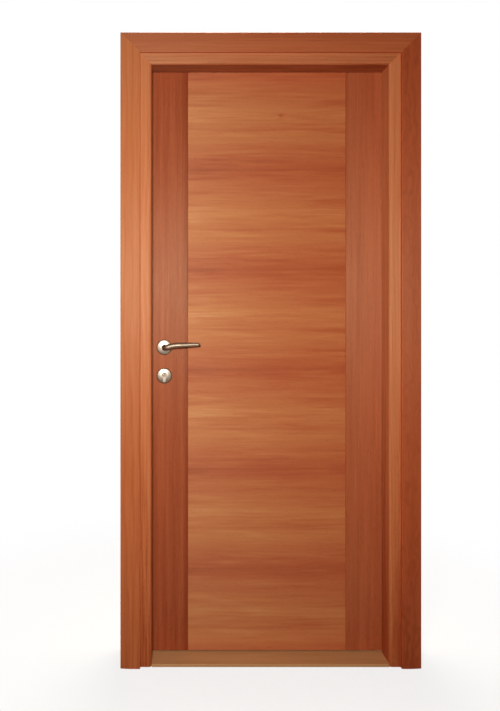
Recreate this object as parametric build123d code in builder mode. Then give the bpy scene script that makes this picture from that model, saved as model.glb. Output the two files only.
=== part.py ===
"""Flush veneered interior door in a rebated timber frame with planted casings, all in millimetres.

X runs to the hinge side, Y runs away from the viewer, Z runs up.
The origin lies on the floor, in the middle of the frame's width and depth.
"""
import os
from math import cos, radians, sin

from build123d import *

# Leaf
leaf_width = 830
leaf_height = 2040
leaf_thickness = 40
skin_thickness = 4
lipping_width = 10
stile_band_width = 138
veneer_joint = 1.2

# Frame
running_gap = 5
stop_lap = 12
jamb_thickness = 50
reveal_depth = 85
reveal_round = 10
sill_thickness = 9
sill_round = 3

# Casing, the same moulding on both wall faces
casing_margin = 38
casing_width = 67
casing_thickness = 13
casing_outer_thickness = 10
casing_flat = 34
casing_round = 3

# Hinges
hinge_height = 110
hinge_plate = 2.5
hinge_plate_width = 30
hinge_corner = 6
knuckle_radius = 7
knuckle_standoff = 2
hinge_pin_radius = 4
hinge_pin_fit = 0.05
hinge_pin_length = 44
knuckle_gap = 0.3
knuckle_cap = 3
knuckle_cap_taper = 40
hinge_low = 230
hinge_high = 200

# Lock
backset = 55
spindle_height = 1064
key_spacing = 96
forend_thickness = 3
forend_width = 20
forend_above = 72
forend_below = 68
case_thickness = 14
case_depth = 78
case_above = 48
case_below = 46
latch_width = 11
latch_height = 24
latch_rise = 14
bolt_width = 8
bolt_height = 32
bolt_rise = 14
bolt_depth = 24
bolt_fit = 0.4
bolt_setback = 0.5
strike_plate = 2.5
strike_width = 24
strike_margin = 22
strike_lip = 34
strike_window_margin = 3
strike_pocket = 14

# Key cylinder and its roses
cylinder_radius = 8.5
cylinder_web = 10
cylinder_drop = 19.5
cylinder_proud = 1.5
cylinder_fit = 0.5
keyway_width = 2.4
keyway_height = 9
keyway_depth = 12

# Lever handles
rose_radius = 27
rose_thickness = 9
rose_crown = 3
rose_edge_round = 4
key_rose_drop = 4
spindle_side = 8
spindle_fit = 0.05
spindle_socket = 32
spindle_bore = 11
lever_radius = 9.3
tip_radius = 6.8
neck_fit = 0.3
neck_setback = 1
lever_reach = 48
lever_bend = 15
lever_length = 123
lever_tilt = 16
grip_bow = 145

# Levels and planes that follow
clear_width = leaf_width - 2 * stop_lap
half_clear = clear_width / 2
half_leaf = leaf_width / 2
leaf_bottom = sill_thickness + running_gap
leaf_top = leaf_bottom + leaf_height
soffit = leaf_top - stop_lap
rebate_width = stop_lap + running_gap
rebate_depth = leaf_thickness + running_gap
frame_depth = reveal_depth + rebate_depth
frame_front = -frame_depth / 2
frame_back = frame_depth / 2
leaf_front = frame_back - leaf_thickness
leaf_back = frame_back
leaf_middle = (leaf_front + leaf_back) / 2
core_thickness = leaf_thickness - 2 * skin_thickness
panel_width = leaf_width - 2 * stile_band_width
hinge_x = half_leaf + running_gap / 2
hinge_y = leaf_back + knuckle_standoff + knuckle_radius
hinge_levels = [
    leaf_bottom + hinge_low,
    (leaf_bottom + hinge_low + leaf_top - hinge_high) / 2,
    leaf_top - hinge_high,
]
spindle_x = backset - half_leaf
spindle_z = leaf_bottom + spindle_height
key_z = spindle_z - key_spacing
key_rose_z = key_z - key_rose_drop
latch_z = spindle_z + latch_rise
bolt_z = key_z + bolt_rise

os.makedirs("parts", exist_ok=True)


def write(part, name):
    """Label a finished piece and write its STEP file."""
    part.label = name
    export_step(part, f"parts/{name}.step")


# The mitre planes run through the frame's two top inner corners and face down and outwards
hinge_mitre = Plane((half_clear, 0, soffit), z_dir=(1, 0, -1))
lock_mitre = Plane((-half_clear, 0, soffit), z_dir=(-1, 0, -1))


def run_plane(side, reach):
    """Section plane of one frame side: local x points out of the doorway, local y away from the viewer."""
    if side == "hinge":
        return Plane((half_clear, 0, 0), x_dir=(1, 0, 0), z_dir=(0, 0, 1))
    if side == "lock":
        return Plane((-half_clear, 0, soffit + reach), x_dir=(-1, 0, 0), z_dir=(0, 0, -1))
    return Plane((half_clear + reach, 0, soffit), x_dir=(0, 0, 1), z_dir=(-1, 0, 0))


def run_length(side, reach):
    """Length of one frame side whose outer edge lies reach outside the doorway."""
    if side == "head":
        return clear_width + 2 * reach
    return soffit + reach


def frame_timber(side):
    """One rebated frame timber with a rounded front arris, mitred at the top corners."""
    with BuildPart() as timber:
        with BuildSketch(run_plane(side, jamb_thickness)):
            with BuildLine():
                Polyline(
                    (0, frame_front),
                    (jamb_thickness, frame_front),
                    (jamb_thickness, frame_back),
                    (rebate_width, frame_back),
                    (rebate_width, frame_back - rebate_depth),
                    (0, frame_back - rebate_depth),
                    close=True,
                )
            face = make_face()
            fillet(face.vertices().sort_by_distance((0, frame_front, 0))[0], reveal_round)
        extrude(amount=run_length(side, jamb_thickness))
        if side == "hinge":
            split(bisect_by=hinge_mitre, keep=Keep.TOP)
        if side == "lock":
            split(bisect_by=lock_mitre, keep=Keep.TOP)
        if side == "head":
            split(bisect_by=hinge_mitre, keep=Keep.BOTTOM)
            split(bisect_by=lock_mitre, keep=Keep.BOTTOM)
    return timber.part


def casing_board(side, facing):
    """One casing board, its face falling back towards the wall; facing is -1 for the front, 1 for the back."""
    reach = casing_margin + casing_width
    wall = facing * frame_depth / 2
    with BuildPart() as board:
        with BuildSketch(run_plane(side, reach)):
            with BuildLine():
                Polyline(
                    (casing_margin, wall),
                    (casing_margin, wall + facing * casing_thickness),
                    (casing_margin + casing_flat, wall + facing * casing_thickness),
                    (reach, wall + facing * casing_outer_thickness),
                    (reach, wall),
                    close=True,
                )
            face = make_face()
            shown = [v for v in face.vertices() if abs(v.Y) > frame_depth / 2 + 1]
            corners = [v for v in face.vertices() if v.X < casing_margin + 1 or v.X > reach - 1]
            fillet([v for v in corners if v in shown], casing_round)
        extrude(amount=run_length(side, reach))
        if side == "hinge":
            split(bisect_by=hinge_mitre, keep=Keep.TOP)
        if side == "lock":
            split(bisect_by=lock_mitre, keep=Keep.TOP)
        if side == "head":
            split(bisect_by=hinge_mitre, keep=Keep.BOTTOM)
            split(bisect_by=lock_mitre, keep=Keep.BOTTOM)
    return board.part


def flush_hinge_plate(level, side):
    """Hinge plate with rounded inner corners, flush in the jamb (side 1) or in the leaf's edge (side -1)."""
    plate_start = hinge_x + side * (running_gap + hinge_plate) / 2 - hinge_plate / 2
    with BuildPart() as plate:
        with BuildSketch(Plane((plate_start, leaf_back, level), x_dir=(0, 1, 0), z_dir=(1, 0, 0))):
            with Locations((-hinge_plate_width / 2, 0)):
                outline = Rectangle(hinge_plate_width, hinge_height)
            fillet(outline.vertices().group_by(Axis.X)[0], hinge_corner)
        extrude(amount=hinge_plate)
    return plate.part


# Hinge jamb, with a recess for each frame hinge plate
with BuildPart() as hinge_jamb:
    add(frame_timber("hinge"))
    for level in hinge_levels:
        add(flush_hinge_plate(level, 1), mode=Mode.SUBTRACT)
write(hinge_jamb.part, "hinge_jamb")

# Lock jamb, with a recess for the strike plate and a pocket behind each of its windows
strike_top = latch_z + latch_height / 2 + strike_margin
strike_bottom = bolt_z - bolt_height / 2 - strike_margin
strike_height = strike_top - strike_bottom
strike_x = -half_clear - rebate_width
strike_z = (strike_top + strike_bottom) / 2
latch_window = (latch_width + 2 * strike_window_margin, latch_height + 2 * strike_window_margin)
bolt_window = (bolt_width + 2 * strike_window_margin, bolt_height + 2 * strike_window_margin)
strike_align = (Align.MAX, Align.CENTER, Align.CENTER)
strike_face = Plane((strike_x, leaf_middle, strike_z), x_dir=(0, 0, 1), z_dir=(-1, 0, 0))
lip_reach = frame_back - leaf_middle
# Blank of the strike plate: round ends, and a lip at the latch that runs to the jamb's back edge
with BuildPart() as strike_blank:
    with BuildSketch(strike_face):
        SlotOverall(strike_height, strike_width)
        with Locations((latch_z - strike_z, lip_reach / 2)):
            Rectangle(strike_lip, lip_reach)
    extrude(amount=strike_plate)
with BuildPart() as lock_jamb:
    add(frame_timber("lock"))
    add(strike_blank.part, mode=Mode.SUBTRACT)
    with Locations((strike_x, leaf_middle, latch_z)):
        Box(strike_pocket, *latch_window, align=strike_align, mode=Mode.SUBTRACT)
    with Locations((strike_x, leaf_middle, bolt_z)):
        Box(strike_pocket, *bolt_window, align=strike_align, mode=Mode.SUBTRACT)
write(lock_jamb.part, "lock_jamb")

with BuildPart() as head_jamb:
    add(frame_timber("head"))
write(head_jamb.part, "head_jamb")

# Threshold, wider behind the stops, with a rounded nose
with BuildPart() as threshold:
    with BuildSketch(Plane.XY):
        with Locations((0, frame_front + reveal_depth / 2)):
            Rectangle(clear_width, reveal_depth)
        with Locations((0, frame_back - rebate_depth / 2)):
            Rectangle(clear_width + 2 * rebate_width, rebate_depth)
    extrude(amount=sill_thickness)
    nose = threshold.edges().filter_by(Axis.X).group_by(Axis.Z)[-1].sort_by(Axis.Y)[0]
    fillet(nose, sill_round)
write(threshold.part, "threshold")

for side in ("lock", "hinge", "head"):
    write(casing_board(side, -1), f"front_casing_{side}")
    write(casing_board(side, 1), f"back_casing_{side}")

# Strike plate with a window for the latch and one for the bolt
with BuildPart() as strike:
    add(strike_blank.part)
    with Locations((strike_x, leaf_middle, latch_z)):
        Box(strike_plate, *latch_window, align=strike_align, mode=Mode.SUBTRACT)
    with Locations((strike_x, leaf_middle, bolt_z)):
        Box(strike_plate, *bolt_window, align=strike_align, mode=Mode.SUBTRACT)
write(strike.part, "strike_plate")

# Leaf core, mortised for the lock and bored for the spindle and the key cylinder
case_top = spindle_z + case_above
case_bottom = key_z - case_below
case_height = case_top - case_bottom
case_z = (case_top + case_bottom) / 2
forend_top = case_top + forend_above - case_above
forend_bottom = case_bottom + case_below - forend_below
forend_height = forend_top - forend_bottom
forend_z = (forend_top + forend_bottom) / 2
face_plane = Plane((spindle_x, leaf_middle, 0), x_dir=(1, 0, 0), z_dir=(0, -1, 0))


def cylinder_outline(grow):
    """Outline of the key cylinder: a round barrel with a narrower web below it, grown all round."""
    with BuildSketch(face_plane) as outline:
        with Locations((0, key_z)):
            Circle(cylinder_radius + grow)
        with Locations((0, key_z - cylinder_drop / 2)):
            Rectangle(cylinder_web + 2 * grow, cylinder_drop)
        with Locations((0, key_z - cylinder_drop)):
            Circle(cylinder_web / 2 + grow)
    return outline.sketch


# Forend plate with round ends, flush in the leaf's lock edge
with BuildPart() as forend:
    with BuildSketch(Plane((-half_leaf, leaf_middle, forend_z), x_dir=(0, 0, 1), z_dir=(1, 0, 0))):
        SlotOverall(forend_height, forend_width)
    extrude(amount=forend_thickness)

# The spindle bore and the cylinder hole, cut from every leaf piece that they pass through
with BuildPart() as leaf_bores:
    with BuildSketch(face_plane):
        with Locations((0, spindle_z)):
            Circle(spindle_bore)
    extrude(amount=leaf_thickness, both=True)
    extrude(cylinder_outline(cylinder_fit), amount=leaf_thickness, both=True)

with BuildPart() as leaf_core:
    with Locations((0, leaf_middle, leaf_bottom)):
        Box(
            leaf_width - 2 * lipping_width,
            core_thickness,
            leaf_height,
            align=(Align.CENTER, Align.CENTER, Align.MIN),
        )
    with Locations((-half_leaf, leaf_middle, case_z)):
        Box(
            case_depth,
            case_thickness,
            case_height,
            align=(Align.MIN, Align.CENTER, Align.CENTER),
            mode=Mode.SUBTRACT,
        )
    add(leaf_bores.part, mode=Mode.SUBTRACT)
write(leaf_core.part, "leaf_core")

# Edge lippings, the lock one let in for the forend and case, the hinge one for the hinge plates
edge_align = (Align.MIN, Align.CENTER, Align.CENTER)
with BuildPart() as lock_lipping:
    with Locations((-half_leaf, leaf_middle, leaf_bottom + leaf_height / 2)):
        Box(lipping_width, core_thickness, leaf_height, align=edge_align)
    with Locations((-half_leaf, leaf_middle, case_z)):
        Box(lipping_width, case_thickness, case_height, align=edge_align, mode=Mode.SUBTRACT)
    add(forend.part, mode=Mode.SUBTRACT)
write(lock_lipping.part, "lock_lipping")

with BuildPart() as hinge_lipping:
    with Locations((half_leaf, leaf_middle, leaf_bottom + leaf_height / 2)):
        Box(lipping_width, core_thickness, leaf_height, align=(Align.MAX, Align.CENTER, Align.CENTER))
    for level in hinge_levels:
        add(flush_hinge_plate(level, -1), mode=Mode.SUBTRACT)
write(hinge_lipping.part, "hinge_lipping")


def face_strip(x_left, x_right, facing):
    """One upright strip of a leaf face; its outer upright edges are eased to a small joint."""
    level = leaf_front if facing < 0 else leaf_back
    inner = level - facing * skin_thickness
    with BuildPart() as strip:
        with BuildSketch(Plane.XY.offset(leaf_bottom)):
            with BuildLine():
                Polyline(
                    (x_left, inner),
                    (x_left, level - facing * veneer_joint),
                    (x_left + veneer_joint, level),
                    (x_right - veneer_joint, level),
                    (x_right, level - facing * veneer_joint),
                    (x_right, inner),
                    close=True,
                )
            make_face()
        extrude(amount=leaf_height)
    return strip.part


for facing, name in ((-1, "front"), (1, "back")):
    with BuildPart() as lock_band:
        add(face_strip(-half_leaf, -panel_width / 2, facing))
        add(leaf_bores.part, mode=Mode.SUBTRACT)
    write(lock_band.part, f"{name}_lock_band")

    with BuildPart() as panel:
        add(face_strip(-panel_width / 2, panel_width / 2, facing))
    write(panel.part, f"{name}_panel")

    with BuildPart() as hinge_band:
        add(face_strip(panel_width / 2, half_leaf, facing))
        if facing > 0:
            for level in hinge_levels:
                add(flush_hinge_plate(level, -1), mode=Mode.SUBTRACT)
    write(hinge_band.part, f"{name}_hinge_band")

# Mortise lock: case and forend, with pockets for latch and bolt and holes for spindle and cylinder
with BuildPart() as mortise_lock:
    with Locations((-half_leaf + forend_thickness, leaf_middle, case_z)):
        Box(case_depth - forend_thickness, case_thickness, case_height, align=edge_align)
    add(forend.part)
    add(leaf_bores.part, mode=Mode.SUBTRACT)
    with Locations((-half_leaf, leaf_middle, latch_z)):
        Box(bolt_depth, latch_width, latch_height, align=edge_align, mode=Mode.SUBTRACT)
    with Locations((-half_leaf, leaf_middle, bolt_z)):
        Box(bolt_depth, bolt_width, bolt_height, align=edge_align, mode=Mode.SUBTRACT)
write(mortise_lock.part, "mortise_lock")

# Latch with a bevelled nose and square dead bolt, both drawn back just under the forend's face
nose_x = -half_leaf + bolt_setback
with BuildPart() as latch:
    with BuildSketch(Plane.XY.offset(latch_z - latch_height / 2 + bolt_fit)):
        half_latch = latch_width / 2 - bolt_fit
        with BuildLine():
            Polyline(
                (-half_leaf + bolt_depth, leaf_middle - half_latch),
                (nose_x + 2 * half_latch, leaf_middle - half_latch),
                (nose_x, leaf_middle + half_latch),
                (-half_leaf + bolt_depth, leaf_middle + half_latch),
                close=True,
            )
        make_face()
    extrude(amount=latch_height - 2 * bolt_fit)
write(latch.part, "latch_bolt")

with BuildPart() as dead_bolt:
    with Locations((nose_x, leaf_middle, bolt_z)):
        Box(
            bolt_depth - bolt_setback,
            bolt_width - 2 * bolt_fit,
            bolt_height - 2 * bolt_fit,
            align=edge_align,
        )
write(dead_bolt.part, "dead_bolt")

# Key cylinder through the leaf and both key roses, with a key slot in each end
cylinder_length = leaf_thickness + 2 * (rose_thickness + cylinder_proud)
with BuildPart() as key_cylinder:
    extrude(cylinder_outline(0), amount=cylinder_length / 2, both=True)
    for facing in (-1, 1):
        with Locations((spindle_x, leaf_middle + facing * cylinder_length / 2, key_z)):
            Box(keyway_width, 2 * keyway_depth, keyway_height, mode=Mode.SUBTRACT)
write(key_cylinder.part, "key_cylinder")


def rose_body(level):
    """Domed round rose with an eased edge on the front face of the leaf, its axis at the given height."""
    dome_radius = (rose_radius**2 + rose_crown**2) / (2 * rose_crown)
    with BuildPart() as rose:
        with BuildSketch(Plane((spindle_x, leaf_front, level), x_dir=(1, 0, 0), z_dir=(0, 0, 1))):
            with BuildLine():
                Polyline(
                    (0, -rose_thickness),
                    (0, 0),
                    (rose_radius, 0),
                    (rose_radius, rose_crown - rose_thickness),
                )
                RadiusArc((0, -rose_thickness), (rose_radius, rose_crown - rose_thickness), -dome_radius)
            face = make_face()
            edge = face.vertices().sort_by_distance((rose_radius, rose_crown - rose_thickness, 0))[0]
            fillet(edge, rose_edge_round)
        revolve(axis=Axis((spindle_x, 0, level), (0, 1, 0)))
    return rose.part


leaf_mid_plane = Plane((0, leaf_middle, 0), x_dir=(1, 0, 0), z_dir=(0, -1, 0))
with BuildPart() as front_lever_rose:
    add(rose_body(spindle_z))
    with BuildSketch(face_plane):
        with Locations((0, spindle_z)):
            Circle(lever_radius + neck_fit)
    extrude(amount=leaf_thickness, both=True, mode=Mode.SUBTRACT)
write(front_lever_rose.part, "front_lever_rose")

with BuildPart() as back_lever_rose:
    add(front_lever_rose.part.mirror(leaf_mid_plane))
write(back_lever_rose.part, "back_lever_rose")

with BuildPart() as front_key_rose:
    add(rose_body(key_rose_z))
    extrude(cylinder_outline(neck_fit), amount=leaf_thickness, both=True, mode=Mode.SUBTRACT)
write(front_key_rose.part, "front_key_rose")

with BuildPart() as back_key_rose:
    add(front_key_rose.part.mirror(leaf_mid_plane))
write(back_key_rose.part, "back_key_rose")

# Lever: a round bar that leaves the rose, bends upwards at a tilt and bows back to level; its grip thins
# towards a ball end while its upper edge stays level
neck_start = leaf_front - neck_setback
grip_y = leaf_front - lever_reach
tilt = radians(lever_tilt)
bend_x = spindle_x + lever_bend * cos(tilt)
bend_z = spindle_z + lever_bend * sin(tilt)
bow_x = bend_x + grip_bow * sin(tilt)
grip_z = bend_z + grip_bow * (1 - cos(tilt))
tip_x = spindle_x + lever_length - tip_radius
tip_z = grip_z + lever_radius - tip_radius
bend_start = (spindle_x, grip_y + lever_bend, spindle_z)
bend_plane = Plane(bend_start, x_dir=(cos(tilt), 0, sin(tilt)), z_dir=(sin(tilt), 0, -cos(tilt)))
bow_plane = Plane((bend_x, grip_y, bend_z), x_dir=(1, 0, 0), z_dir=(0, -1, 0))
with BuildPart() as front_lever:
    with BuildLine() as neck_path:
        Line((spindle_x, neck_start, spindle_z), bend_start)
    with BuildLine(bend_plane) as bend_path:
        JernArc((0, 0), (0, 1), lever_bend, -90)
    with BuildLine(bow_plane) as bow_path:
        JernArc((0, 0), (cos(tilt), sin(tilt)), grip_bow, -lever_tilt)
    for path in (neck_path, bend_path, bow_path):
        with BuildSketch(Plane(path.line @ 0, z_dir=path.line % 0)):
            Circle(lever_radius)
        sweep(path=path.line)
    with BuildSketch(Plane((bow_x, grip_y, grip_z), z_dir=(1, 0, 0))):
        Circle(lever_radius)
    with BuildSketch(Plane((tip_x, grip_y, tip_z), z_dir=(1, 0, 0))):
        Circle(tip_radius)
    loft()
    with Locations((tip_x, grip_y, tip_z)):
        Sphere(tip_radius)
    with Locations((spindle_x, neck_start, spindle_z)):
        Box(
            spindle_side + 2 * spindle_fit,
            2 * spindle_socket,
            spindle_side + 2 * spindle_fit,
            mode=Mode.SUBTRACT,
        )
write(front_lever.part, "front_lever")

with BuildPart() as back_lever:
    add(front_lever.part.mirror(leaf_mid_plane))
write(back_lever.part, "back_lever")

spindle_length = leaf_thickness + 2 * (neck_setback + spindle_socket)
with BuildPart() as spindle:
    with Locations((spindle_x, leaf_middle, spindle_z)):
        Box(spindle_side, spindle_length, spindle_side)
write(spindle.part, "spindle")


def hinge_leaf(level, side):
    """One hinge half: a flush plate and its knuckle; side 1 is the frame half with the pin, -1 the door half."""
    plate_x = hinge_x + side * (running_gap + hinge_plate) / 2
    knuckle_height = (hinge_height - knuckle_gap) / 2
    meeting = Plane((hinge_x, hinge_y, level - side * knuckle_gap / 2), z_dir=(0, 0, -side))
    outer_end = meeting.offset(knuckle_height)
    with BuildPart() as half:
        add(flush_hinge_plate(level, side))
        with Locations((plate_x, leaf_back, level - side * (hinge_height + knuckle_gap) / 4)):
            Box(
                hinge_plate,
                hinge_y - leaf_back,
                knuckle_height,
                align=(Align.CENTER, Align.MIN, Align.CENTER),
            )
        with BuildSketch(meeting):
            Circle(knuckle_radius)
        extrude(amount=knuckle_height)
        with BuildSketch(outer_end):
            Circle(knuckle_radius)
        extrude(amount=knuckle_cap, taper=knuckle_cap_taper)
        if side > 0:
            with BuildSketch(meeting):
                Circle(hinge_pin_radius)
            extrude(amount=-hinge_pin_length)
        else:
            with BuildSketch(meeting):
                Circle(hinge_pin_radius + hinge_pin_fit)
            extrude(amount=hinge_pin_length + knuckle_gap, mode=Mode.SUBTRACT)
    return half.part


for level, name in zip(hinge_levels, ("low", "middle", "high")):
    write(hinge_leaf(level, 1), f"hinge_frame_leaf_{name}")
    write(hinge_leaf(level, -1), f"hinge_door_leaf_{name}")
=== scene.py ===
"""Veneered interior door in its frame, dressed and lit for Blender, in metres in the part's own frame."""
import math
from collections import namedtuple

import bmesh
import bpy
import numpy as np
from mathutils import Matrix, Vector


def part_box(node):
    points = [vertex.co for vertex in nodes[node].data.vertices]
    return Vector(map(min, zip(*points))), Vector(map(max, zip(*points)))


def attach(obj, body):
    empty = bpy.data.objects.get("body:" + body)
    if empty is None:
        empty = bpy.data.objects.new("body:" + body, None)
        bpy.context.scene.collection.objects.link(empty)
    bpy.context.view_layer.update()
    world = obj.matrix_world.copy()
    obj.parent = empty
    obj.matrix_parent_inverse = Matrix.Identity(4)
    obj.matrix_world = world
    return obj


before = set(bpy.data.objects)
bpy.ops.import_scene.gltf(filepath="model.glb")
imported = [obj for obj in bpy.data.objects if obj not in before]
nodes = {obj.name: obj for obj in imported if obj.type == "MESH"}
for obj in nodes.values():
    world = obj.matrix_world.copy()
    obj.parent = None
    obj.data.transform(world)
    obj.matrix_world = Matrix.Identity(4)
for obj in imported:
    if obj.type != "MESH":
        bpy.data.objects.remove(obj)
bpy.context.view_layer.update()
scene = bpy.context.scene

MM = 0.001

# Camera, fitted to the photograph's frame; lines square to the door meet at the vanishing point, in pixels
PICTURE_WIDTH = 500
PICTURE_HEIGHT = 711
VANISHING_X = 166
VANISHING_Y = 305
CAMERA_PLACE = (-0.354, -2.467, 1.2266)
SENSOR = 36
LENS = 35.9

# Leaf: its top, the panel's half width, and the height of the panel's veneer sheets, counted from the top
panel_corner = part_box("front_panel")[1]
PANEL_HALF = float(panel_corner[0])
LEAF_TOP = float(panel_corner[2])
SHEET = 350 * MM

# A grain's rotation to upright, and its direction, a little off the axis so that end faces have one too
GRAIN_UP = ((0.0, 0.0, 0.0), (0.01, 0.02, 1.0))
GRAIN_ACROSS = ((0.0, math.radians(90), 0.0), (1.0, 0.02, 0.01))

# Middle of a tone and of a noise, from which marks go darker or paler
MIDDLE = 0.5

# Streaks along a grain: width and length of one, detail of its outline, and its weight in the tone
Streak = namedtuple("Streak", "width length detail weight", defaults=(1.0,))
STREAK_ROUGHNESS = 0.55

# Wandering of a grain: sideways reach and the length of one swing, in drifts of the width given
DRIFT_WIDTH = 60 * MM
DRIFT_DETAIL = 2.0
BOARD_WANDER = (26 * MM, 0.4)
HINGE_CASING_WANDER = (50 * MM, 0.11)
BAND_WANDER = (4 * MM, 0.4)
PANEL_WANDER = (5 * MM, 0.4)

# Solid boards: growth rings at about four times their real width so that they show, pale early wood that
# darkens into late wood, and broad and fine streaks along them
RING = 12 * MM
RING_TONES = [(0.0, 0.5), (0.2, 0.62), (0.55, 0.56), (0.85, 0.3), (1.0, 0.5)]
RING_WEIGHT = 0.45
BOARD_BROAD = Streak(60 * MM, 1.2, 1.0, 0.6)
BOARD_LINES = Streak(6 * MM, 0.25, 1.5, 0.55)

# Upright veneer bands: tone at the lock side and the hinge side, and their streaks and dark flecks
BAND_SIDES = (0.48, 0.6)
BAND_BROAD = Streak(40 * MM, 1.6, 1.0, 0.3)
BAND_FIGURE = Streak(12 * MM, 0.5, 3.0, 0.38)
BAND_LINES = Streak(4.5 * MM, 0.18, 2.0, 0.2)
BAND_FLECKS = Streak(2 * MM, 40 * MM, 1.0, 0.2)
FLECK_RANGE = (0.6, 0.78)

# Painted shade: the bands turn darker and redder towards the foot and towards the top under the head, where
# less light falls, from the heights given
FOOT_START = LEAF_TOP / 3
FOOT_SHADE = -0.09
TOP_START = LEAF_TOP * 0.75
TOP_SHADE = -0.1

# They also darken along their joint with the panel, most on the lock side
STRIP_WIDTH = 24 * MM
LOCK_STRIP = -0.2
HINGE_STRIP = -0.08

# Cross-laid panel veneer: place and tone of the stripes across one sheet, from joint to joint, the painted
# light at the lock side and painted shade at the hinge side, and how much deeper in the log each next sheet
# was sliced
STRIPES = [
    (0.0, 0.2), (0.055, 0.32), (0.14, 0.46), (0.19, 0.44), (0.34, 0.575), (0.44, 0.667), (0.51, 0.6),
    (0.61, 0.57), (0.67, 0.62), (0.74, 0.555), (0.82, 0.4), (0.87, 0.46), (0.96, 0.35), (1.0, 0.2),
]
PANEL_SIDE_LIGHT = (0.045, -0.03)
SLICE = 3 * MM
PANEL_FIGURE = Streak(28 * MM, 0.5, 1.0, 0.34)
PANEL_DASHES = Streak(10 * MM, 0.17, 1.0, 0.36)
PANEL_LINES = Streak(4 * MM, 80 * MM, 0.5, 0.1)

# Patches in which the panel's figure comes and goes, and its strength from the faintest to the boldest
PANEL_PATCHES = Streak(60 * MM, 0.3, 1.0)
PATCH_RANGE = (0.35, 0.65)
PATCH_STRENGTH = (0.4, 1.5)

# Small eye in the panel veneer: its place in a sheet, its reach down and along, how far it pushes the
# grain aside, the share it loses with each sheet, and the dark knot in its middle
EYE_DOWN = 161 * MM
EYE_SIDE = 50 * MM
EYE_REACH = (12 * MM, 26 * MM)
EYE_PUSH = 11 * MM
EYE_FADE = 0.3
KNOT_TONE = -0.4
KNOT_SHARPNESS = 6.0

# Open pores of the wood, drawn about eight times wider than they are so that they show close by
PORES = Streak(1.2 * MM, 20 * MM, 1.0, 0.3)
PORE_RANGE = (0.56, 0.74)

# Relief of the wood below its lacquer
LINE_RELIEF = 0.7
WOOD_BUMP = 0.15
WOOD_BUMP_HEIGHT = 0.15 * MM

# Sheen of the wood: the fibres' strength, blur, stretch and colour, the shine of a pale line, the lacquer
FIBRE_LEVEL = 0.55
FIBRE_ROUGHNESS = 0.55
FIBRE_STRETCH = 0.72
FIBRE_TINT = "#fff6d0"
LINE_SHINE = -0.12
LACQUER_IOR = 1.5
LACQUER_WEIGHT = 0.04
LACQUER_ROUGHNESS = 0.45

# Brushing marks and cloudy patches of the metals
METAL_MARKS = Streak(0.8 * MM, 4 * MM, 2.0)
METAL_CLOUDS = Streak(12 * MM, 12 * MM, 2.0)
METAL_BUMP = 0.08
METAL_BUMP_HEIGHT = 0.05 * MM

# Red-brown to golden tones of the timber, dark to light
FRAME_TONES = ("#a64823", "#cb7345", "#d88558", "#e09265")
HEAD_TONES = ("#96401b", "#be6b42", "#cb7d53", "#d79066")
LOCK_CASING_TONES = ("#ae582d", "#c46b3f", "#cf7b4c", "#da8c5f")
HINGE_CASING_TONES = ("#984120", "#b4522d", "#c16036", "#ce7044")
HEAD_CASING_TONES = ("#a04825", "#b65c36", "#c36940", "#cf794d")
BAND_TONES = ("#7f3117", "#a24c2c", "#c16942", "#d78a5d")
PANEL_TONES = ("#a24628", "#be603a", "#ce7d4b", "#de9c65")
SILL_TONES = ("#b07a4d", "#c69161", "#d4a270", "#e1b582")

# Screws: the head and its cross recess, the grid it is worked out on, and its innermost ring
SCREW_RADIUS = 4 * MM
SCREW_CROWN = 0.7 * MM
SCREW_SINK = 0.6 * MM
RECESS_DEPTH = 1.1 * MM
RECESS_REACH = 2.4 * MM
RECESS_HALF_WIDTH = 0.55 * MM
RECESS_SQUARENESS = 6
SCREW_RINGS = 18
SCREW_TURNS = 48
SCREW_EYE = 0.04

# Places of the screws on each plate, as shares of its width and height
HINGE_SCREWS = ((0.2, 0.12), (0.45, 0.36), (0.2, 0.64), (0.45, 0.88))
FOREND_SCREWS = ((0.5, 0.05), (0.5, 0.95))
STRIKE_SCREWS = ((0.375, 0.06), (0.375, 0.94))

# Key plug in each end of the cylinder, and the channel for the key
CYLINDER_RADIUS = 8.5 * MM
PLUG_TURNS = 64
PLUG_RIM = (5.6 * MM, 6.9 * MM)
RIM_HEIGHT = 0.35 * MM
RIM_STEPS = 13
CHANNEL_HALF = (1.1 * MM, 4.4 * MM)
CHANNEL_SINK = 0.5 * MM
CHANNEL_DEPTH = 9 * MM
CHANNEL_ROUNDING = 0.5
CHANNEL_SLIMNESS = 0.72
CHANNEL_WAVE = 0.25

# Points of a mesh closer than this are merged
MERGE = 1e-7

# Plain pale floor that fades into the white surroundings
FLOOR_HALF = 3.0
FLOOR_DROP = 0.5 * MM
FLOOR_FADE = (0.5, 1.9)
FLOOR_COVER = 0.22
FLOOR_CODE = "#edeceb"

# Surroundings: a dim dome for the light, a warm half-lit room for the reflections, white for the eye
DOME = ("#ffe4cc", 0.015)
ROOM = ("#ffcfa2", 0.22)
BACKDROP = ("#ffffff", 1.0)

# Softboxes: name, place, the point they face, size, power, and the width of the beam in degrees
SOFTBOX_CODE = "#fff6ea"
SOFTBOXES = (
    ("key_softbox", (-0.47, -2.1, 1.35), (-0.3, 0.0, 1.2), 0.24, 38, 180),
    ("back_softbox", (0.6, 3.2, 1.8), (0.0, 0.0, 1.1), 3.0, 66, 180),
    ("lock_side_softbox", (-3.0, 0.5, 1.5), (0.0, 0.1, 1.1), 2.4, 30, 180),
    ("hinge_side_softbox", (3.0, 0.5, 1.5), (0.0, 0.1, 1.1), 2.4, 30, 180),
    ("top_softbox", (0.0, 0.6, 4.6), (0.0, 0.1, 2.1), 1.0, 20, 60),
)

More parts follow.
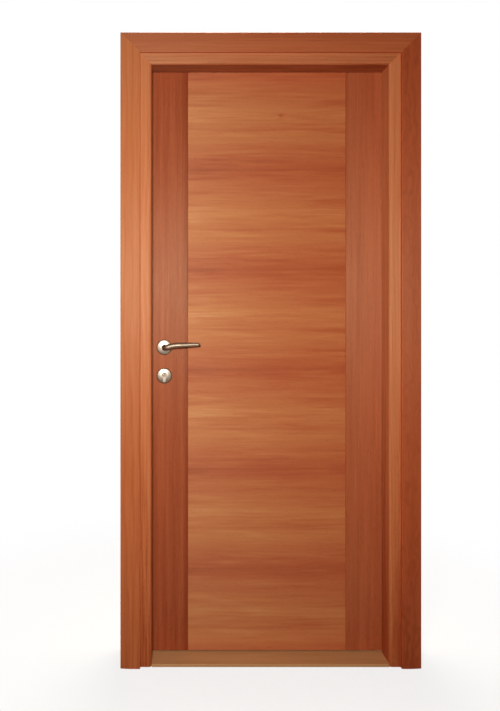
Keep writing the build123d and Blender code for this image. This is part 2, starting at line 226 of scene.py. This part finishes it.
# Kinds and settings of the nodes that are used most
MATH = "ShaderNodeMath"
VECTOR = "ShaderNodeVectorMath"
RANGE = "ShaderNodeMapRange"
RAMP = "ShaderNodeValToRGB"
NOISE = "ShaderNodeTexNoise"
SPLIT = "ShaderNodeSeparateXYZ"
PLACE = "ShaderNodeTexCoord"
GEOMETRY = "ShaderNodeNewGeometry"
BUMP = "ShaderNodeBump"
BACKGROUND = "ShaderNodeBackground"
MIX = "ShaderNodeMixShader"
ADD = {"operation": "ADD"}
SUBTRACT = {"operation": "SUBTRACT"}
MULTIPLY = {"operation": "MULTIPLY"}
DIVIDE = {"operation": "DIVIDE"}
MULTIPLY_ADD = {"operation": "MULTIPLY_ADD"}
ABSOLUTE = {"operation": "ABSOLUTE"}
LENGTH = {"operation": "LENGTH"}
SMOOTH = {"interpolation_type": "SMOOTHSTEP"}


def linear(code):
    """Turn an sRGB hex colour into linear red, green, blue and alpha."""
    parts = np.array([int(code[i:i + 2], 16) for i in (1, 3, 5)]) / 255
    low = parts / 12.92
    high = ((parts + 0.055) / 1.055) ** 2.4
    return (*np.where(parts <= 0.04045, low, high).tolist(), 1.0)


def node(tree, kind, settings, inputs):
    """Add a node, set its properties, and link or set its inputs, by name or, from a tuple, in their order.

    A list of stops among the settings fills a colour ramp.
    """
    made = tree.nodes.new(kind)
    for key, value in settings.items():
        if key != "stops":
            setattr(made, key, value)
            continue
        ramp = made.color_ramp.elements
        while len(ramp) < len(value):
            ramp.new(0.5)
        for element, (place, colour) in zip(ramp, value):
            element.position = place
            element.color = linear(colour) if isinstance(colour, str) else (colour, colour, colour, 1.0)
    pairs = inputs.items() if isinstance(inputs, dict) else enumerate(inputs)
    for key, value in pairs:
        if isinstance(value, bpy.types.NodeSocket):
            tree.links.new(value, made.inputs[key])
        else:
            made.inputs[key].default_value = value
    return made.outputs


def blank_material(name):
    """Make an empty node material and return it with its tree."""
    material = bpy.data.materials.new(name)
    material.use_nodes = True
    material.node_tree.nodes.clear()
    return material, material.node_tree


def surface(tree, inputs):
    """Close a material with one Principled shader."""
    shader = node(tree, "ShaderNodeBsdfPrincipled", {}, inputs)
    node(tree, "ShaderNodeOutputMaterial", {}, {"Surface": shader["BSDF"]})


def streaks(tree, grain, kind):
    """Noise drawn out along the grain, in cells of the streak's width and length."""
    stretch = (1 / kind.width, 1 / kind.width, 1 / kind.length)
    place = node(tree, VECTOR, MULTIPLY, (grain, stretch))["Vector"]
    cells = {"Vector": place, "Scale": 1.0, "Detail": kind.detail, "Roughness": STREAK_ROUGHNESS}
    return node(tree, NOISE, {"noise_dimensions": "3D"}, cells)["Fac"]


def weigh(tree, pairs, base):
    """Sum of each signal's distance from the middle times its weight, added to a base value or socket."""
    total = base
    for signal, weight in pairs:
        centred = node(tree, MATH, SUBTRACT, (signal, MIDDLE))[0]
        total = node(tree, MATH, MULTIPLY_ADD, (centred, weight, total))[0]
    return total


def drifted(tree, grain, wander):
    """Grain coordinates that a slow noise pushes sideways; the wander is its reach and its length."""
    reach, length = wander
    stretch = (1 / DRIFT_WIDTH, 1 / DRIFT_WIDTH, 1 / length)
    place = node(tree, VECTOR, MULTIPLY, (grain, stretch))["Vector"]
    cells = {"Vector": place, "Scale": 1.0, "Detail": DRIFT_DETAIL}
    drift = node(tree, NOISE, {"noise_dimensions": "3D"}, cells)["Color"]
    return node(tree, VECTOR, MULTIPLY_ADD, (drift, (reach, reach, 0.0), grain))["Vector"]


def lacquered_wood(tree, grain, direction, tone, tones, fine):
    """Mix the tones by a share from 0 to 1, under a satin lacquer.

    The fibres below the lacquer are fine parallel threads, so they stretch the light across the grain
    and colour it; the lacquer itself adds a faint white sheen. Open pores are short dark dashes, sunk
    a little into the surface.
    """
    pores = streaks(tree, grain, PORES)
    pores = node(tree, RANGE, {}, (pores, *PORE_RANGE, MIDDLE, 0.0))["Result"]
    tone = weigh(tree, [(pores, PORES.weight)], tone)
    places = np.linspace(0, 1, len(tones)).tolist()
    colour = node(tree, RAMP, {"stops": list(zip(places, tones))}, (tone,))["Color"]
    gloss = weigh(tree, [(signal, LINE_SHINE) for signal in fine], FIBRE_ROUGHNESS)
    relief = weigh(tree, [(signal, LINE_RELIEF) for signal in (*fine, pores)], MIDDLE)
    grooves = {"Strength": WOOD_BUMP, "Distance": WOOD_BUMP_HEIGHT, "Height": relief}
    facing = node(tree, GEOMETRY, {}, {})["Normal"]
    across = node(tree, VECTOR, {"operation": "CROSS_PRODUCT"}, (facing, direction))["Vector"]
    surface(
        tree,
        {
            "Base Color": colour,
            "Roughness": gloss,
            "Normal": node(tree, BUMP, {}, grooves)["Normal"],
            "Tangent": across,
            "IOR": LACQUER_IOR,
            "Specular IOR Level": FIBRE_LEVEL,
            "Specular Tint": linear(FIBRE_TINT),
            "Anisotropic": FIBRE_STRETCH,
            "Coat Weight": LACQUER_WEIGHT,
            "Coat Roughness": LACQUER_ROUGHNESS,
        },
    )


def solid_timber(
    name, grain_turn, tones, shift, pith, wander=BOARD_WANDER, painted_light_course=(0.0, 0.0, 0.0), edge=0.0
):
    """Planed board: growth rings round a distant pith, cut lengthwise into long lines and tall arches.

    The shift picks the board's place in the log, and the wander is how far and how often its rings swing.
    The painted_light_course is painted light and shade: the change of tone at the foot, half way up and at
    the top, darker where the lamp lights the board less and paler where it lights it more. The edge is
    painted shade: the change on faces that look neither forwards nor back, such as the reveals and the
    head's underside.
    """
    turn, direction = grain_turn
    material, tree = blank_material(name)
    place = node(tree, PLACE, {}, {})["Object"]
    turned = {"Vector": place, "Rotation": turn, "Location": shift}
    grain = node(tree, "ShaderNodeMapping", {}, turned)["Vector"]
    bent = drifted(tree, grain, wander)
    from_pith = node(tree, VECTOR, MULTIPLY_ADD, (bent, (1.0, 1.0, 0.0), pith))["Vector"]
    radius = node(tree, VECTOR, LENGTH, (from_pith,))["Value"]
    count = node(tree, MATH, DIVIDE, (radius, RING))[0]
    part = node(tree, MATH, {"operation": "FRACT"}, (count,))[0]
    rings = node(tree, RAMP, {"stops": RING_TONES}, (part,))["Color"]
    broad = streaks(tree, grain, BOARD_BROAD)
    lines = streaks(tree, bent, BOARD_LINES)
    # Painted light and shade: the tone follows the height, darker at the foot where less light falls
    level = node(tree, SPLIT, {}, (place,))["Z"]
    level = node(tree, MATH, DIVIDE, (level, LEAF_TOP))[0]
    stops = [(share, MIDDLE + change) for share, change in zip((0.0, 0.5, 1.0), painted_light_course)]
    base = node(tree, RAMP, {"stops": stops}, (level,))["Color"]
    # Painted shade: faces that look sideways or down, such as the reveals and the head's underside, are
    # darkened
    facing = node(tree, GEOMETRY, {}, {})["Normal"]
    forward = node(tree, SPLIT, {}, (facing,))["Y"]
    forward = node(tree, MATH, ABSOLUTE, (forward,))[0]
    sideways = node(tree, RANGE, {}, (forward, 0.0, 1.0, edge, 0.0))["Result"]
    base = node(tree, MATH, ADD, (base, sideways))[0]
    marks = [(rings, RING_WEIGHT), (broad, BOARD_BROAD.weight), (lines, BOARD_LINES.weight)]
    lacquered_wood(tree, grain, direction, weigh(tree, marks, base), tones, (lines,))
    return material


def band_veneer(name, tones):
    """Upright sliced veneer: straight fine lines and short dark flecks, darker along the panel's joints."""
    material, tree = blank_material(name)
    place = node(tree, PLACE, {}, {})["Object"]
    grain = drifted(tree, place, BAND_WANDER)
    side = node(tree, SPLIT, {}, (grain,))["X"]
    # The two sides come from different parts of the log, the hinge side's the paler
    tone = node(tree, RANGE, {}, (side, -PANEL_HALF, PANEL_HALF, *BAND_SIDES))["Result"]
    level = node(tree, SPLIT, {}, (place,))["Z"]
    # Painted shade, darker and redder towards the foot and the top
    for start, end, change in ((FOOT_START, 0.0, FOOT_SHADE), (TOP_START, LEAF_TOP, TOP_SHADE)):
        painted_shade = node(tree, RANGE, {}, (level, start, end, 0.0, change))["Result"]
        tone = node(tree, MATH, ADD, (painted_shade, tone))[0]
    for joint, change in ((-PANEL_HALF, LOCK_STRIP), (PANEL_HALF, HINGE_STRIP)):
        gap = node(tree, MATH, SUBTRACT, (side, joint))[0]
        gap = node(tree, MATH, ABSOLUTE, (gap,))[0]
        strip = node(tree, RANGE, SMOOTH, (gap, 0.0, STRIP_WIDTH, change, 0.0))["Result"]
        tone = node(tree, MATH, ADD, (strip, tone))[0]
    broad = streaks(tree, grain, BAND_BROAD)
    figure = streaks(tree, grain, BAND_FIGURE)
    lines = streaks(tree, grain, BAND_LINES)
    specks = streaks(tree, grain, BAND_FLECKS)
    flecks = node(tree, RANGE, {}, (specks, *FLECK_RANGE, MIDDLE, 0.0))["Result"]
    marks = [
        (broad, BAND_BROAD.weight),
        (figure, BAND_FIGURE.weight),
        (lines, BAND_LINES.weight),
        (flecks, BAND_FLECKS.weight),
    ]
    lacquered_wood(tree, grain, GRAIN_UP[1], weigh(tree, marks, tone), tones, (lines, specks))
    return material


def panel_veneer(name, tones):
    """Cross-laid sliced veneer: each sheet repeats its stripes, red at the joints and golden between."""
    material, tree = blank_material(name)
    place = node(tree, PLACE, {}, {})["Object"]
    parts = node(tree, SPLIT, {}, (place,))
    below = node(tree, MATH, SUBTRACT, (LEAF_TOP, parts["Z"]))[0]
    sheets = node(tree, MATH, DIVIDE, (below, SHEET))[0]
    number = node(tree, MATH, {"operation": "FLOOR"}, (sheets,))[0]
    down = node(tree, MATH, {"operation": "FLOORED_MODULO"}, (below, SHEET))[0]
    # Each next sheet was sliced deeper from the same log, so its fine figure differs a little
    depth = node(tree, MATH, MULTIPLY_ADD, (number, SLICE, parts["Y"]))[0]
    # The eye: a bell-shaped push of the grain, gone by the fifth sheet
    shares = []
    for signal, centre, reach in ((down, EYE_DOWN, EYE_REACH[0]), (parts["X"], EYE_SIDE, EYE_REACH[1])):
        share = node(tree, MATH, SUBTRACT, (signal, centre))[0]
        share = node(tree, MATH, DIVIDE, (share, reach))[0]
        shares.append(node(tree, MATH, MULTIPLY, (share, share))[0])
    spread = node(tree, MATH, ADD, shares)[0]
    spread = node(tree, MATH, MULTIPLY, (spread, -1.0))[0]
    bell = node(tree, MATH, {"operation": "EXPONENT"}, (spread,))[0]
    fade = node(tree, MATH, {"operation": "MULTIPLY_ADD", "use_clamp": True}, (number, -EYE_FADE, 1.0))[0]
    push = node(tree, MATH, MULTIPLY, (bell, fade))[0]
    pushed = node(tree, MATH, MULTIPLY_ADD, (push, EYE_PUSH, down))[0]
    sheet_place = node(tree, "ShaderNodeCombineXYZ", {}, (pushed, depth, parts["X"]))["Vector"]
    grain = drifted(tree, sheet_place, PANEL_WANDER)
    bent = node(tree, SPLIT, {}, (grain,))["X"]
    # The drift pushes one way by half its reach on average, which is taken off again
    average = PANEL_WANDER[0] / 2
    share = node(tree, MATH, MULTIPLY_ADD, (bent, 1 / SHEET, -average / SHEET))[0]
    base = node(tree, RAMP, {"stops": STRIPES}, (share,))["Color"]
    # Painted light: the panel turns paler and more golden towards the lock side, nearer the lamp, and
    # darker and redder towards the hinge side
    lengthwise = node(tree, RANGE, {}, (parts["X"], -PANEL_HALF, PANEL_HALF, *PANEL_SIDE_LIGHT))["Result"]
    base = node(tree, MATH, ADD, (base, lengthwise))[0]
    # A small dark knot in the middle of the eye
    knot = node(tree, MATH, {"operation": "POWER"}, (push, KNOT_SHARPNESS))[0]
    base = node(tree, MATH, MULTIPLY_ADD, (knot, KNOT_TONE, base))[0]
    figure = streaks(tree, grain, PANEL_FIGURE)
    dashes = streaks(tree, grain, PANEL_DASHES)
    lines = streaks(tree, grain, PANEL_LINES)
    pairs = [(figure, PANEL_FIGURE.weight), (dashes, PANEL_DASHES.weight), (lines, PANEL_LINES.weight)]
    marks = weigh(tree, pairs, 0.0)
    patches = streaks(tree, grain, PANEL_PATCHES)
    strength = node(tree, RANGE, {}, (patches, *PATCH_RANGE, *PATCH_STRENGTH))["Result"]
    tone = node(tree, MATH, MULTIPLY_ADD, (marks, strength, base))[0]
    lacquered_wood(tree, grain, GRAIN_ACROSS[1], tone, tones, (dashes, lines))
    return material


def satin_metal(name, code, roughness, mottle):
    """Plated and brushed metal: the reflection is blurred, with fine marks that break up its edge."""
    material, tree = blank_material(name)
    place = node(tree, PLACE, {}, {})["Object"]
    marks = streaks(tree, place, METAL_MARKS)
    clouds = streaks(tree, place, METAL_CLOUDS)
    gloss = weigh(tree, [(marks, mottle), (clouds, mottle)], roughness)
    scratches = {"Strength": METAL_BUMP, "Distance": METAL_BUMP_HEIGHT, "Height": marks}
    bump = node(tree, BUMP, {}, scratches)["Normal"]
    surface(tree, {"Base Color": linear(code), "Metallic": 1.0, "Roughness": gloss, "Normal": bump})
    return material


# Sapele boards, planed and lacquered: lines and arches with a soft sheen, painted shade towards the foot of
# the upright ones and painted light towards their top, painted shade on the frame's reveals and the head's
# underside; the oak threshold is the paler one
wood = {
    # Painted shade towards the jamb's foot and on its reveals, painted light towards its top
    "jamb": solid_timber(
        "sapele_jamb_satin_lacquer", GRAIN_UP, FRAME_TONES, shift=(0.0, 0.0, 0.0), pith=(0.02, -0.16, 0.0),
        painted_light_course=(-0.36, -0.02, 0.12), edge=-0.1,
    ),
    # Painted shade on the head's underside and ends
    "head": solid_timber(
        "sapele_head_satin_lacquer", GRAIN_ACROSS, HEAD_TONES, shift=(0.3, 0.0, 0.7), pith=(0.1, -0.2, 0.0),
        edge=-0.5,
    ),
    # Painted shade towards the lock casing's foot, painted light towards its top
    "lock_casing": solid_timber(
        "sapele_lock_casing_satin_lacquer", GRAIN_UP, LOCK_CASING_TONES, shift=(0.4, 0.1, 0.2),
        pith=(0.15, -0.2, 0.0), painted_light_course=(-0.28, 0.03, 0.18),
    ),
    # Painted shade towards the hinge casing's foot and top, painted light half way up
    "hinge_casing": solid_timber(
        "sapele_hinge_casing_satin_lacquer", GRAIN_UP, HINGE_CASING_TONES, shift=(0.0, 0.0, 0.5),
        pith=(-0.47, -0.03, 0.0), wander=HINGE_CASING_WANDER, painted_light_course=(-0.26, 0.08, -0.15),
    ),
    "head_casing": solid_timber(
        "sapele_head_casing_satin_lacquer", GRAIN_ACROSS, HEAD_CASING_TONES, shift=(0.9, 0.1, 0.4),
        pith=(0.2, -0.25, 0.0),
    ),
    "band": band_veneer("sapele_upright_veneer_satin_lacquer", BAND_TONES),
    "panel": panel_veneer("sapele_cross_veneer_satin_lacquer", PANEL_TONES),
    "lipping": solid_timber(
        "sapele_lipping_satin_lacquer", GRAIN_UP, BAND_TONES, shift=(0.2, 0.5, 0.1),
        pith=(0.3, -0.3, 0.0),
    ),
    "sill": solid_timber(
        "oak_threshold_satin_lacquer", GRAIN_ACROSS, SILL_TONES, shift=(0.1, 0.2, 0.3),
        pith=(0.1, -0.2, 0.0),
    ),
}
# Satin nickel is a warm grey with a soft highlight, softer still on the grips, which hands rub
nickel = satin_metal("nickel_plate_satin_brushed", "#9d958c", roughness=0.37, mottle=0.12)
grip_nickel = satin_metal("nickel_plate_satin_brushed_grip", "#a3988a", roughness=0.5, mottle=0.12)
# Zinc-plated steel is a cooler and cloudier grey
steel = satin_metal("steel_brushed_zinc_plated", "#a9a69e", roughness=0.38, mottle=0.15)
# Turned brass under nickel is the darkest plate, and the brass in the key channels is near black, partly
# oxidised brass and partly painted shade for the depth of the keyway
brass = satin_metal("brass_nickel_plated_turned", "#8b8276", roughness=0.4, mottle=0.12)
keyway_shade_brass = satin_metal("brass_oxidised_broached_painted_shade", "#2b2520", roughness=0.6, mottle=0.1)

wooden_nodes = {
    "jamb": ("lock_jamb", "hinge_jamb"),
    "head": ("head_jamb",),
    "lock_casing": ("front_casing_lock", "back_casing_lock"),
    "hinge_casing": ("front_casing_hinge", "back_casing_hinge"),
    "head_casing": ("front_casing_head", "back_casing_head"),
    "band": ("front_lock_band", "front_hinge_band", "back_lock_band", "back_hinge_band"),
    "panel": ("front_panel", "back_panel"),
    "lipping": ("leaf_core", "lock_lipping", "hinge_lipping"),
    "sill": ("threshold",),
}
wood_of = {name: wood[kind] for kind, names in wooden_nodes.items() for name in names}


def metal_of(name):
    """Metal of a node that isn't wooden, from its name."""
    if name.endswith("_lever"):
        return grip_nickel
    if name.endswith("_rose") or name.startswith("hinge_"):
        return nickel
    if name == "key_cylinder":
        return brass
    return steel


for name, thing in nodes.items():
    thing.data.materials.clear()
    thing.data.materials.append(wood_of[name] if name in wood_of else metal_of(name))


def add_piece(name, shells, body, finish):
    """Mesh of closed shells, each of rings of points in which every ring joins the next.

    The shells are an array of shell, ring, step round and axis. A shell is closed by end rings of no
    width, or by a last ring that lies on the first: points that meet are merged, and faces turned outwards.
    """
    count, rings, turns = shells.shape[:3]
    shell, ring, step = np.meshgrid(np.arange(count), np.arange(rings - 1), np.arange(turns), indexing="ij")
    start = (shell * rings + ring) * turns
    after = (step + 1) % turns
    corners = [start + step, start + turns + step, start + turns + after, start + after]
    quads = np.stack(corners, axis=-1).reshape(-1, 4)
    mesh = bpy.data.meshes.new(name)
    mesh.from_pydata(shells.reshape(-1, 3).tolist(), [], quads.tolist())
    work = bmesh.new()
    work.from_mesh(mesh)
    bmesh.ops.remove_doubles(work, verts=work.verts, dist=MERGE)
    bmesh.ops.recalc_face_normals(work, faces=work.faces)
    work.to_mesh(mesh)
    work.free()
    mesh.materials.append(finish)
    piece = bpy.data.objects.new(name, mesh)
    scene.collection.objects.link(piece)
    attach(piece, body)


def plug_rim(name, centre, facing):
    """Raised rim of the key plug: a half-round profile between two radii, turned round the key's axis."""
    angle = np.linspace(0, 2 * math.pi, PLUG_TURNS, endpoint=False)
    bend = np.linspace(0, math.pi, RIM_STEPS)
    inner, outer = PLUG_RIM
    middle = (inner + outer) / 2
    half = (outer - inner) / 2
    radius = np.concatenate([middle - half * np.cos(bend), [outer, inner, inner]])
    height = np.concatenate([RIM_HEIGHT * np.sin(bend), [-RIM_HEIGHT, -RIM_HEIGHT, 0.0]])
    rings = np.stack(
        [
            centre[0] + radius[:, None] * np.cos(angle),
            centre[1] + facing * height[:, None] + 0 * angle,
            centre[2] + radius[:, None] * np.sin(angle),
        ],
        axis=-1,
    )
    add_piece(name, rings[None], "leaf", brass)


def key_channel(name, centre, facing):
    """Channel for the key, near black with painted shade for the deep keyway: a tall, wavy superellipse
    carried into the plug, with a dished front.
    """
    angle = np.linspace(0, 2 * math.pi, PLUG_TURNS, endpoint=False)
    side = np.sign(np.cos(angle)) * np.abs(np.cos(angle)) ** CHANNEL_ROUNDING
    up = np.sign(np.sin(angle)) * np.abs(np.sin(angle)) ** CHANNEL_ROUNDING
    wave = CHANNEL_WAVE * np.sin(up * math.pi)
    # Size of each ring from the middle of the dish to its edge, then of the far end, and how deep it lies
    grow = np.array([0.0, 0.45, 0.8, 0.97, 1.0, 1.0, 0.0])
    dish = np.array([2.4, 2.2, 1.6, 0.7, 0.0])
    sink = np.concatenate([CHANNEL_SINK * (1 + dish), [CHANNEL_DEPTH, CHANNEL_DEPTH]])
    rings = np.stack(
        [
            centre[0] + CHANNEL_HALF[0] * grow[:, None] * (CHANNEL_SLIMNESS * side + wave),
            centre[1] - facing * sink[:, None] + 0 * angle,
            centre[2] + CHANNEL_HALF[1] * grow[:, None] * up,
        ],
        axis=-1,
    )
    add_piece(name, rings[None], "leaf", keyway_shade_brass)


cylinder_low, cylinder_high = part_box("key_cylinder")
key_axis_x = float(cylinder_low[0] + cylinder_high[0]) / 2
key_axis_z = float(cylinder_high[2]) - CYLINDER_RADIUS
for end, level, facing in (("front", cylinder_low[1], -1), ("back", cylinder_high[1], 1)):
    plug_rim(f"{end}_plug_rim", (key_axis_x, float(level), key_axis_z), facing)
    key_channel(f"{end}_key_channel", (key_axis_x, float(level), key_axis_z), facing)


def screw_heads(name, centres, facing, body):
    """Raised countersunk screw heads with a cross recess.

    On a polar grid the height is a low dome, less a cross whose arms are narrow in one direction and
    fade out along the other; a short skirt and a flat underside close the head below the plate's face.
    """
    shares = np.concatenate([[0.0], np.linspace(SCREW_EYE, 1.0, SCREW_RINGS), [1.0, SCREW_EYE, 0.0]])
    angle = np.arange(SCREW_TURNS) * 2 * math.pi / SCREW_TURNS
    share, around = np.meshgrid(shares, angle, indexing="ij")
    across = SCREW_RADIUS * share * np.cos(around)
    up = SCREW_RADIUS * share * np.sin(around)
    narrow_across, narrow_up = (np.exp(-(v / RECESS_HALF_WIDTH) ** RECESS_SQUARENESS) for v in (across, up))
    long_across, long_up = (np.exp(-(v / RECESS_REACH) ** RECESS_SQUARENESS) for v in (across, up))
    recess = np.maximum(narrow_across * long_up, narrow_up * long_across)
    height = SCREW_CROWN * (1 - share ** 2) - RECESS_DEPTH * recess
    # The last three rings are the skirt's foot and the underside
    height[-3:] = -RECESS_DEPTH - SCREW_SINK
    # The height points out of the plate, the grid's first direction along Y and its second up
    head = np.stack([facing * height, facing * across, up], axis=-1)
    add_piece(name, np.asarray(centres)[:, None, None, :] + head, body, steel)


def plate_screws(plates, face_x, shares):
    """Screw centres on flush plates, at shares of each plate's width and height."""
    centres = []
    for plate in plates:
        low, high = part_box(plate)
        size = high - low
        centres += [(face_x, low[1] + across * size[1], low[2] + up * size[2]) for across, up in shares]
    return centres


frame_hinges = [name for name in nodes if name.startswith("hinge_frame_leaf")]
door_hinges = [name for name in nodes if name.startswith("hinge_door_leaf")]
lipping_face = float(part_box("hinge_lipping")[1][0])
rebate_face = float(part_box("strike_plate")[1][0])
frame_screws = plate_screws(frame_hinges, -rebate_face, HINGE_SCREWS)
door_screws = plate_screws(door_hinges, lipping_face, HINGE_SCREWS)
forend_screws = plate_screws(["mortise_lock"], -lipping_face, FOREND_SCREWS)
strike_screws = plate_screws(["strike_plate"], rebate_face, STRIKE_SCREWS)
screw_heads("hinge_frame_screws", frame_screws, -1, "frame")
screw_heads("hinge_door_screws", door_screws, 1, "leaf")
screw_heads("forend_screws", forend_screws, -1, "leaf")
screw_heads("strike_screws", strike_screws, 1, "frame")

# Floor, a matte pale paint that covers less and less away from the door
floor_corners = FLOOR_HALF * np.array([(-1, -1, 0), (1, -1, 0), (1, 1, 0), (-1, 1, 0)])
floor_mesh = bpy.data.meshes.new("floor")
floor_mesh.from_pydata((floor_corners - [0, 0, FLOOR_DROP]).tolist(), [], [(0, 1, 2, 3)])
floor = bpy.data.objects.new("floor", floor_mesh)
scene.collection.objects.link(floor)
floor_paint, floor_tree = blank_material("floor_pale_paint")
floor_place = node(floor_tree, PLACE, {}, {})["Object"]
away = node(floor_tree, VECTOR, LENGTH, (floor_place,))["Value"]
cover = node(floor_tree, RANGE, SMOOTH, (away, *FLOOR_FADE, FLOOR_COVER, 0.0))["Result"]
clear = node(floor_tree, "ShaderNodeBsdfTransparent", {}, {})[0]
matte = node(floor_tree, "ShaderNodeBsdfDiffuse", {}, {"Color": linear(FLOOR_CODE)})[0]
floor_mix = node(floor_tree, MIX, {}, (cover, clear, matte))[0]
node(floor_tree, "ShaderNodeOutputMaterial", {}, {"Surface": floor_mix})
floor_mesh.materials.append(floor_paint)

# Surroundings, one kind for each kind of ray
world = bpy.data.worlds.new("studio")
scene.world = world
world.use_nodes = True
world_tree = world.node_tree
world_tree.nodes.clear()
rays = node(world_tree, "ShaderNodeLightPath", {}, {})
sky = node(world_tree, BACKGROUND, {}, {"Color": linear(DOME[0]), "Strength": DOME[1]})[0]
for ray, (code, strength) in (("Is Glossy Ray", ROOM), ("Is Camera Ray", BACKDROP)):
    shown = node(world_tree, BACKGROUND, {}, {"Color": linear(code), "Strength": strength})[0]
    sky = node(world_tree, MIX, {}, (rays[ray], sky, shown))[0]
node(world_tree, "ShaderNodeOutputWorld", {}, {"Surface": sky})


def softbox(name, place, target, size, power, spread):
    """Square area light that faces a target point; the spread is the width of its beam in degrees."""
    light = bpy.data.lights.new(name, "AREA")
    light.size = size
    light.energy = power
    light.spread = math.radians(spread)
    light.color = linear(SOFTBOX_CODE)[:3]
    lamp = bpy.data.objects.new(name, light)
    lamp.location = place
    aim = np.array(target) - np.array(place)
    yaw = math.atan2(aim[1], aim[0]) - math.pi / 2
    pitch = math.atan2(aim[2], math.hypot(aim[0], aim[1])) + math.pi / 2
    lamp.rotation_euler = (pitch, 0, yaw)
    scene.collection.objects.link(lamp)


for box in SOFTBOXES:
    softbox(*box)

# Camera square to the door, its picture shifted as in the photograph
lens = bpy.data.cameras.new("camera")
lens.lens = LENS
lens.sensor_width = SENSOR
lens.shift_x = (PICTURE_WIDTH / 2 - VANISHING_X) / PICTURE_HEIGHT
lens.shift_y = (VANISHING_Y - PICTURE_HEIGHT / 2) / PICTURE_HEIGHT
camera = bpy.data.objects.new("camera", lens)
camera.location = CAMERA_PLACE
camera.rotation_euler = (math.radians(90), 0, 0)
scene.collection.objects.link(camera)
scene.camera = camera
scene.view_settings.view_transform = "Standard"
